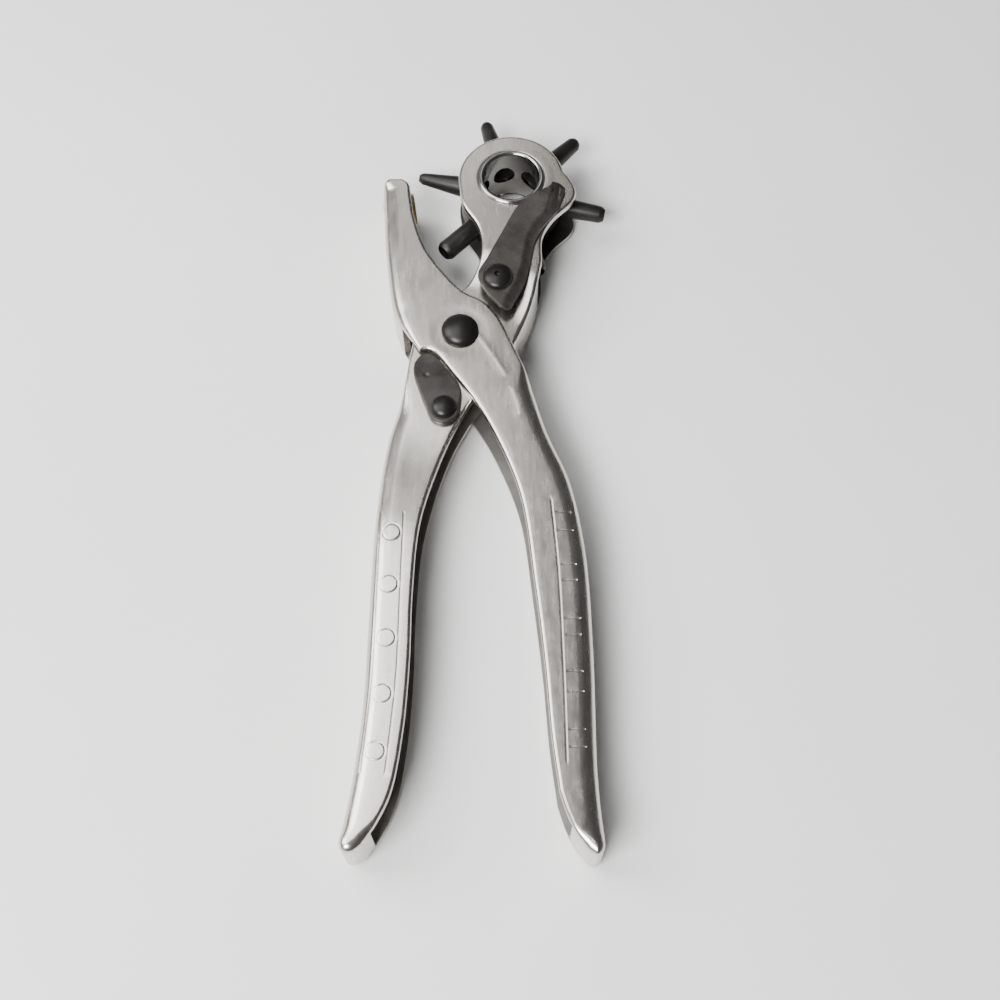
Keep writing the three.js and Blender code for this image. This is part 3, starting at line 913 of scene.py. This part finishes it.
def cut(piece, cutters):
    """Cuts solids out of a piece, given as (points, faces) lists."""
    for points, faces in cutters:
        mesh = bpy.data.meshes.new("cutter")
        mesh.from_pydata([metres(p) for p in points], [], faces)
        cutter = bpy.data.objects.new("cutter", mesh)
        bpy.context.scene.collection.objects.link(cutter)
        modifier = piece.modifiers.new("cut", "BOOLEAN")
        modifier.operation = "DIFFERENCE"
        modifier.solver = "EXACT"
        modifier.object = cutter
        apply_modifiers(piece)
        bpy.data.objects.remove(cutter)
        bpy.data.meshes.remove(mesh)


def apply_modifiers(piece):
    bpy.context.view_layer.update()
    evaluated = piece.evaluated_get(bpy.context.evaluated_depsgraph_get())
    mesh = bpy.data.meshes.new_from_object(evaluated)
    old = piece.data
    piece.modifiers.clear()
    piece.data = mesh
    mesh.name = old.name
    bpy.data.meshes.remove(old)
    mesh.shade_smooth()
    mesh.set_sharp_from_angle(angle=math.radians(35))


def punch_wheel(material):
    half, radius, bore = WHEEL_HALF, WHEEL_RADIUS, CHEEK_HOLE - 0.02
    profile = [
        (bore, -half), (radius - 1.2, -half), (radius - 0.5, -half + 0.25), (radius - 0.1, -half + 0.8),
        (radius, -half + 1.4), (radius, half - 1.4), (radius - 0.1, half - 0.8),
        (radius - 0.5, half - 0.25), (radius - 1.2, half), (bore, half), (bore, -half),
    ]
    points, faces = lathe(profile, 96, upright(HUB))
    piece = add_piece("punch_wheel_drum", points, faces, "wheel", ["punch_wheel"], material)
    cutters = []
    for angle in tube_angles():
        cutters.append(drill(STUD_RADIUS + 0.08, 6, 20, angle))
        centre = polar(HUB, INDEX_RADIUS, angle + INDEX_ANGLE - ANVIL_ANGLE)
        cutters.append(lathe([(0, half - 0.8), (1.6, half + 0.4), (0, half + 0.4)], 24, upright(centre)))
    cut(piece, cutters)


def hub_sleeve(material):
    lip = []
    for i in range(10):
        angle = math.radians(190 - 25 * i)
        lip.append((9.22 + 0.82 * math.cos(angle), 9.5 + 0.6 * math.sin(angle)))
    barrel = SLEEVE_HALF - 0.2
    profile = [(SLEEVE_BORE, -SLEEVE_HALF), (SLEEVE_BORE, SLEEVE_HALF), *lip]
    profile += [(SLEEVE_RADIUS, barrel), (SLEEVE_RADIUS, -barrel)]
    profile += [(r, -z) for r, z in reversed(lip)] + [profile[0]]
    profile.reverse()
    points, faces = lathe(profile, 96, upright(HUB))
    piece = add_piece("hub_sleeve_rolled", points, faces, "wheel", ["hub_sleeve"], material)
    cut(piece, [drill(SLUG_HOLE, 5, 12, angle) for angle in tube_angles()])


def punch_tubes(material):
    for bore, angle in zip(TUBE_BORES, tube_angles()):
        inner = bore / 2
        tip = inner + TUBE_WALL
        shoulder = WHEEL_RADIUS + 0.1
        profile = [
            (inner, 11), (STUD_RADIUS - 0.2, 11), (STUD_RADIUS, 11.3), (STUD_RADIUS, shoulder),
            (2.95, shoulder), (3.15, shoulder + 0.2), (3.0, shoulder + 2), (tip + 0.3, TUBE_TIP - 1.5),
            (tip + 0.2, TUBE_TIP - 1.0), (inner + 0.14, TUBE_TIP), (inner + 0.02, TUBE_TIP),
            (inner, TUBE_TIP - 0.15), (inner, 11),
        ]
        points, faces = lathe(profile, 48, radial(angle))
        node = "punch_tube_" + f"{bore:.1f}".replace(".", "_") + "mm"
        add_piece(node + "_turned", points, faces, "wheel", [node], material, sharp=25)


def anvil(material):
    profile = [
        (0, ANVIL_FACE), (ANVIL_RADIUS - 0.45, ANVIL_FACE), (ANVIL_RADIUS - 0.15, ANVIL_FACE + 0.12),
        (ANVIL_RADIUS, ANVIL_FACE + 0.4), (ANVIL_RADIUS, ANVIL_BACK - 0.25),
        (ANVIL_RADIUS - 0.2, ANVIL_BACK), (ANVIL_SHANK, ANVIL_BACK), (ANVIL_SHANK, ANVIL_TAIL),
        (ANVIL_SHANK + 0.45, ANVIL_TAIL), (ANVIL_SHANK + 0.6, ANVIL_TAIL + 0.15),
        (ANVIL_SHANK + 0.4, ANVIL_TAIL + 0.35), (ANVIL_SHANK - 0.3, ANVIL_TAIL + 0.5),
        (0, ANVIL_TAIL + 0.55),
    ]
    points, faces = lathe(profile, 64, radial(ANVIL_ANGLE))
    add_piece("anvil_turned", points, faces, "anvil_lever_body", ["anvil"], material)


# ---------- Materials ----------

def node_material(name):
    material = bpy.data.materials.new(name)
    material.use_nodes = True
    tree = material.node_tree
    return material, tree, tree.nodes["Principled BSDF"]


def noise_node(tree, scale, detail, stretch=(1, 1, 1)):
    where = tree.nodes.new("ShaderNodeTexCoord")
    mapping = tree.nodes.new("ShaderNodeMapping")
    mapping.inputs["Scale"].default_value = stretch
    tree.links.new(where.outputs["Object"], mapping.inputs["Vector"])
    texture = tree.nodes.new("ShaderNodeTexNoise")
    texture.inputs["Scale"].default_value = scale
    texture.inputs["Detail"].default_value = detail
    texture.inputs["Roughness"].default_value = 0.55
    tree.links.new(mapping.outputs["Vector"], texture.inputs["Vector"])
    return texture.outputs["Fac"]


def along_y(tree, start, end):
    """A share that goes from 0 to 1 between two places along y."""
    where = tree.nodes.new("ShaderNodeTexCoord")
    split = tree.nodes.new("ShaderNodeSeparateXYZ")
    scale = tree.nodes.new("ShaderNodeMapRange")
    scale.inputs["From Min"].default_value = start
    scale.inputs["From Max"].default_value = end
    tree.links.new(where.outputs["Object"], split.inputs["Vector"])
    tree.links.new(split.outputs["Y"], scale.inputs["Value"])
    return scale.outputs["Result"]


def ramp(tree, source, stops):
    node = tree.nodes.new("ShaderNodeValToRGB")
    elements = node.color_ramp.elements
    while len(elements) < len(stops):
        elements.new(0.5)
    for element, (place, value) in zip(elements, stops):
        element.position = place
        element.color = (value, value, value, 1) if isinstance(value, float) else (*value, 1)
    tree.links.new(source, node.inputs["Fac"])
    return node.outputs["Color"]


def drive(tree, shader, socket, source, stops):
    """Sets a shader's input from a source through a ramp."""
    tree.links.new(ramp(tree, source, stops), shader.inputs[socket])


def blend_colours(tree, share, first, second, mode="MIX"):
    node = tree.nodes.new("ShaderNodeMix")
    node.data_type = "RGBA"
    node.blend_type = mode
    for value, socket in ((share, node.inputs[0]), (first, node.inputs[6]), (second, node.inputs[7])):
        if isinstance(value, (int, float)):
            socket.default_value = value
        elif isinstance(value, tuple):
            socket.default_value = (*value, 1)
        else:
            tree.links.new(value, socket)
    return node.outputs[2]


def bump(tree, shader, heights):
    """Adds bumps one after another: (height socket, strength, distance in metres)."""
    previous = None
    for height, strength, distance in heights:
        node = tree.nodes.new("ShaderNodeBump")
        node.inputs["Strength"].default_value = strength
        node.inputs["Distance"].default_value = distance
        tree.links.new(height, node.inputs["Height"])
        if previous:
            tree.links.new(previous, node.inputs["Normal"])
        previous = node.outputs["Normal"]
    tree.links.new(previous, shader.inputs["Normal"])


def plated_steel():
    material, tree, shader = node_material("satin_plated_steel")
    shader.inputs["Metallic"].default_value = 1.0
    cloud = noise_node(tree, 48, 5)
    brushed = noise_node(tree, 700, 3, (1.0, 0.22, 1.0))
    grain = noise_node(tree, 3200, 2)
    base = ramp(tree, cloud, [(0.3, (0.58, 0.548, 0.50)), (0.7, (0.64, 0.606, 0.555))])
    streak = ramp(tree, brushed, [(0.35, 0.975), (0.65, 1.0)])
    tree.links.new(blend_colours(tree, 1.0, base, streak, "MULTIPLY"), shader.inputs["Base Color"])
    drive(tree, shader, "Roughness", brushed, [(0.25, 0.2), (0.75, 0.3)])
    bump(tree, shader, [(grain, 0.35, 0.00002), (brushed, 0.09, 0.00002), (cloud, 0.07, 0.0001)])
    return material


def dull_shaded_inside():
    """The unpolished inside of the pressed sheet, darkened with painted shade: nearly black inside the
    head, lighter from the pivot towards the handles.
    """
    material, tree, shader = node_material("dull_shaded_inside")
    shader.inputs["Metallic"].default_value = 0.8
    cloud = noise_node(tree, 140, 5)
    grain = noise_node(tree, 1500, 3)
    # painted shade: the dark tone is for the head's inside, where shade falls between the cheeks, and the
    # light one is for the rest
    dark = ramp(tree, cloud, [(0.3, (0.05, 0.046, 0.042)), (0.7, (0.088, 0.082, 0.075))])
    light = ramp(tree, cloud, [(0.3, (0.20, 0.19, 0.175)), (0.7, (0.30, 0.285, 0.265))])
    less_shade_towards_handles = along_y(tree, 0.03, 0.012)
    tree.links.new(blend_colours(tree, less_shade_towards_handles, dark, light), shader.inputs["Base Color"])
    drive(tree, shader, "Roughness", grain, [(0.3, 0.42), (0.7, 0.6)])
    bump(tree, shader, [(grain, 0.3, 0.00004), (cloud, 0.3, 0.0001)])
    return material


def black_steel(name, low, high, speckle, tone, wear_and_sheen_from=None):
    """Blackened steel with a roughness from low to high, a share of dark specks and a brightness (tone).

    Beyond the given place along y, in metres, the coating is scratched off in places; that lighter grey is
    real wear and also a painted highlight on the leaf's bent end.
    """
    material, tree, shader = node_material(name)
    shader.inputs["Metallic"].default_value = 0.5
    cloud = noise_node(tree, 160, 5)
    grain = noise_node(tree, 1900, 3)
    dark = (0.021 * tone, 0.0195 * tone, 0.0175 * tone)
    light = (0.047 * tone, 0.043 * tone, 0.039 * tone)
    base = ramp(tree, cloud, [(0.3, dark), (0.72, light)])
    speck = ramp(tree, grain, [(0.45, 1.0 - speckle), (0.7, 1.0)])
    colour = blend_colours(tree, 1.0, base, speck, "MULTIPLY")
    if wear_and_sheen_from is not None:
        # scratched wear, and with it a painted highlight: the leaf's bent end is painted lighter grey
        scratches = ramp(tree, noise_node(tree, 420, 4, (1.0, 0.35, 1.0)), [(0.56, 0.0), (0.68, 0.6)])
        share = blend_colours(tree, 1.0, scratches, along_y(tree, wear_and_sheen_from, wear_and_sheen_from + 0.003), "MULTIPLY")
        colour = blend_colours(tree, share, colour, (0.30, 0.29, 0.27))
    tree.links.new(colour, shader.inputs["Base Color"])
    drive(tree, shader, "Roughness", grain, [(0.3, low), (0.75, high)])
    bump(tree, shader, [(grain, 0.5 * speckle, 0.00004), (cloud, 0.3, 0.0001)])
    return material


def bright_chrome():
    material, tree, shader = node_material("bright_chrome")
    shader.inputs["Metallic"].default_value = 1.0
    cloud = noise_node(tree, 130, 4)
    drive(tree, shader, "Base Color", cloud, [(0.3, (0.38, 0.37, 0.355)), (0.7, (0.50, 0.49, 0.47))])
    drive(tree, shader, "Roughness", cloud, [(0.3, 0.1), (0.75, 0.2)])
    bump(tree, shader, [(cloud, 0.25, 0.0001)])
    return material


def turned_brass():
    material, tree, shader = node_material("turned_brass")
    shader.inputs["Metallic"].default_value = 1.0
    cloud = noise_node(tree, 220, 5)
    marks = noise_node(tree, 900, 3, (1.0, 3.0, 3.0))
    drive(tree, shader, "Base Color", cloud, [(0.3, (0.40, 0.30, 0.12)), (0.7, (0.60, 0.46, 0.20))])
    drive(tree, shader, "Roughness", marks, [(0.3, 0.32), (0.7, 0.48)])
    bump(tree, shader, [(marks, 0.4, 0.00005), (cloud, 0.3, 0.0001)])
    return material


def spring_steel():
    material, tree, shader = node_material("spring_steel")
    shader.inputs["Metallic"].default_value = 1.0
    cloud = noise_node(tree, 300, 4)
    drive(tree, shader, "Base Color", cloud, [(0.3, (0.14, 0.135, 0.125)), (0.7, (0.24, 0.23, 0.22))])
    drive(tree, shader, "Roughness", cloud, [(0.3, 0.3), (0.7, 0.48)])
    bump(tree, shader, [(cloud, 0.3, 0.00005)])
    return material


# ---------- Stage ----------

def pale_floor():
    size = 1.6
    mesh = bpy.data.meshes.new("floor")
    corners = [(-size, -size, 0), (size, -size, 0), (size, size, 0), (-size, size, 0)]
    mesh.from_pydata(corners, [], [(0, 1, 2, 3)])
    floor = bpy.data.objects.new("floor", mesh)
    bpy.context.scene.collection.objects.link(floor)
    material, tree, shader = node_material("pale_floor")
    cloud = noise_node(tree, 9, 3)
    drive(tree, shader, "Base Color", cloud, [(0.3, (0.86, 0.86, 0.85)), (0.7, (0.90, 0.90, 0.89))])
    shader.inputs["Roughness"].default_value = 0.7
    floor.data.materials.append(material)


def area_light(name, place, size, power, target=None):
    """A rectangular lamp that points at a target, or straight down."""
    target = target or (*place[:2], 0)
    data = bpy.data.lights.new(name, "AREA")
    data.shape = "RECTANGLE"
    data.size, data.size_y = size
    data.energy = power
    light = bpy.data.objects.new(name, data)
    light.location = place
    light.rotation_euler = (Vector(target) - Vector(place)).to_track_quat("-Z", "Y").to_euler()
    bpy.context.scene.collection.objects.link(light)


def studio():
    """Soft lamps, in metres and watts, and a surround that is darker towards the right."""
    target = (0.01, -0.03, 0.01)
    area_light("overhead", (-0.345, 0.145, 0.75), (0.62, 0.56), 4.1)
    area_light("handle_fill", (-0.12, 0.29, 0.74), (0.17, 0.3), 0.16)
    area_light("back", (-0.06, 0.72, 0.75), (0.24, 0.22), 0.3)
    area_light("key", (-0.62, 0.12, 0.55), (0.5, 0.4), 4.5, target)
    area_light("front", (-0.35, -0.55, 0.75), (0.45, 0.35), 16, target)
    world = bpy.data.worlds.new("studio")
    world.use_nodes = True
    tree = world.node_tree
    where = tree.nodes.new("ShaderNodeTexCoord")
    split = tree.nodes.new("ShaderNodeSeparateXYZ")
    tree.links.new(where.outputs["Generated"], split.inputs["Vector"])
    scale = tree.nodes.new("ShaderNodeMapRange")
    scale.inputs["From Min"].default_value = -0.7
    scale.inputs["From Max"].default_value = 0.5
    tree.links.new(split.outputs["X"], scale.inputs["Value"])
    tone = ramp(tree, scale.outputs["Result"], [(0.0, (0.33, 0.33, 0.335)), (1.0, (0.085, 0.085, 0.087))])
    tree.links.new(tone, tree.nodes["Background"].inputs["Color"])
    bpy.context.scene.world = world


def camera():
    place = (11.089, -215.535, 349.572)
    tilt = math.radians(25.4)
    roll = math.radians(-0.5)
    data = bpy.data.cameras.new("camera")
    data.lens = 50
    data.sensor_width = 36
    data.clip_start = 0.01
    view = bpy.data.objects.new("camera", data)
    turn = Matrix.Rotation(tilt, 4, "X") @ Matrix.Rotation(roll, 4, "Z")
    view.matrix_world = Matrix.Translation(metres(place)) @ turn
    bpy.context.scene.collection.objects.link(view)
    bpy.context.scene.camera = view


def build():
    plated = plated_steel()
    # the levers' insides carry painted shade
    shaded_inside = dull_shaded_inside()
    black = black_steel("black_oxide_steel", 0.36, 0.5, 0.3, 0.75)
    satin = black_steel("satin_black_steel", 0.36, 0.5, 0.25, 1.55)
    # the leaf's end: scratched wear plus a painted highlight
    worn_and_sheen = black_steel("worn_and_sheen_black_steel", 0.36, 0.5, 0.25, 1.8, wear_and_sheen_from=0.044)
    gloss = black_steel("polished_black_steel", 0.3, 0.4, 0.04, 0.4)
    spring = spring_steel()
    anvil_lever(plated, shaded_inside)
    punch_lever(plated, shaded_inside)
    rivets(gloss)
    spacer(spring)
    return_spring(spring)
    lock_latch(satin)
    index_spring(worn_and_sheen)
    index_nose(black)
    punch_wheel(black)
    hub_sleeve(bright_chrome())
    punch_tubes(black)
    anvil(turned_brass())


camera()
pale_floor()
studio()
build()
